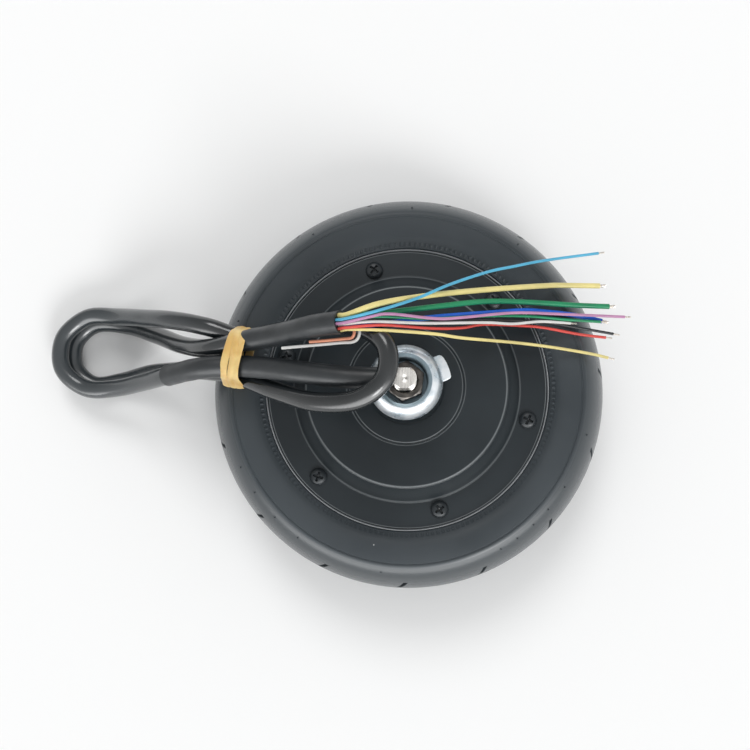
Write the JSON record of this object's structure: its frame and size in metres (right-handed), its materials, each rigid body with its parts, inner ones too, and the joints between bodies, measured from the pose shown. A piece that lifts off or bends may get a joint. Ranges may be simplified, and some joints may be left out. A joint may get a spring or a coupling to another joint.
{
  "type": "hub motor wheel",
  "caption": "Solid-tyred hub motor wheel on a still single-ended axle, with its motor inside and its cable folded over one side and tied, wires fanned out.",
  "frame": {"origin": "on the wheel axis, in the flat rear face that the wheel lies on", "axes": "+Z along the axle towards its threaded end, where the cable comes out; the cable leaves the axle towards -X"},
  "size_m": [0.328, 0.216, 0.1204],
  "materials": {
    "tyre_rubber": "satin, slightly dusty moulded rubber",
    "cover_paint": "satin dark blue-grey paint",
    "rim_metal": "cast and turned",
    "bright_axle": "brushed bright steel",
    "zinc": "bluish zinc plate",
    "nut_steel": "dark oiled steel",
    "black_screw": "black oxide",
    "bearing_steel": "ground and polished",
    "plain_steel": "turned steel",
    "laminations": "stamped electrical steel",
    "magnet_nickel": "nickel plated",
    "hub_aluminium": "die cast",
    "copper_winding": "enamelled copper",
    "insulator_nylon": "natural nylon",
    "board_green": "solder mask",
    "black_plastic": "moulded",
    "seal_rubber": "nitrile rubber",
    "cage_brass": "pressed",
    "cable_jacket": "glossy black jacket",
    "sleeve_plastic": "shrunk tubing, semi gloss",
    "band_rubber": "translucent amber rubber",
    "wire_yellow": "silicone insulation",
    "wire_green": "silicone insulation",
    "wire_blue": "silicone insulation",
    "wire_sky": "PVC insulation",
    "wire_pink": "PVC insulation",
    "wire_black": "PVC insulation",
    "wire_white": "PVC insulation",
    "wire_red": "PVC insulation",
    "wire_orange": "PVC insulation",
    "tinned_copper": "bare tinned strands"
  },
  "bodies": {
    "axle_side": {"bearing_snap_rings": "plain_steel", "front_inner_race": "bearing_steel", "rear_inner_race": "bearing_steel", "axle": "bright_axle", "axle_key": "plain_steel", "stator_hub": "hub_aluminium", "stator_core": "laminations", "front_insulator": "insulator_nylon", "rear_insulator": "insulator_nylon", "windings": "copper_winding", "hall_board": "board_green", "hall_sensors": "black_plastic", "inner_harness": "black_plastic", "tab_washer": "zinc", "cup_washer": "zinc", "axle_nut": "nut_steel", "motor_cable": "cable_jacket", "cable_sleeve": "sleeve_plastic", "heat_shrink": "sleeve_plastic", "rubber_band": "band_rubber", "phase_yellow": "wire_yellow", "phase_green": "wire_green", "phase_blue": "wire_blue", "lead_sky": "wire_sky", "lead_pink": "wire_pink", "lead_green": "wire_green", "lead_black": "wire_black", "lead_white": "wire_white", "lead_red": "wire_red", "lead_yellow": "wire_yellow", "spare_white": "wire_white", "spare_orange": "wire_orange", "wire_ends": "tinned_copper"},
    "wheel": {"tyre": "tyre_rubber", "rim": "rim_metal", "rotor_yoke": "plain_steel", "magnets": "magnet_nickel", "front_cover": "cover_paint", "rear_cover": "cover_paint", "front_gasket": "seal_rubber", "rear_gasket": "seal_rubber", "front_screws": "black_screw", "rear_screws": "black_screw", "shaft_seal": "seal_rubber", "front_outer_race": "bearing_steel", "rear_outer_race": "bearing_steel"},
    "front_ball_ring": {"front_balls": "bearing_steel", "front_cage": "cage_brass"},
    "rear_ball_ring": {"rear_balls": "bearing_steel", "rear_cage": "cage_brass"}
  },
  "joints": [
    {"name": "wheel_spin", "type": "hinge", "parent": "axle_side", "child": "wheel", "pos_m": [0, 0, 0.03], "axis": [0, 0, 1], "continuous": true},
    {"name": "front_balls_roll", "type": "hinge", "parent": "axle_side", "child": "front_ball_ring", "pos_m": [0, 0, 0.03], "axis": [0, 0, 1], "continuous": true},
    {"name": "rear_balls_roll", "type": "hinge", "parent": "axle_side", "child": "rear_ball_ring", "pos_m": [0, 0, 0.03], "axis": [0, 0, 1], "continuous": true}
  ],
  "couplings": [
    {"joint": "front_balls_roll", "follows": "wheel_spin", "ratio": 0.619},
    {"joint": "rear_balls_roll", "follows": "wheel_spin", "ratio": 0.619}
  ]
}
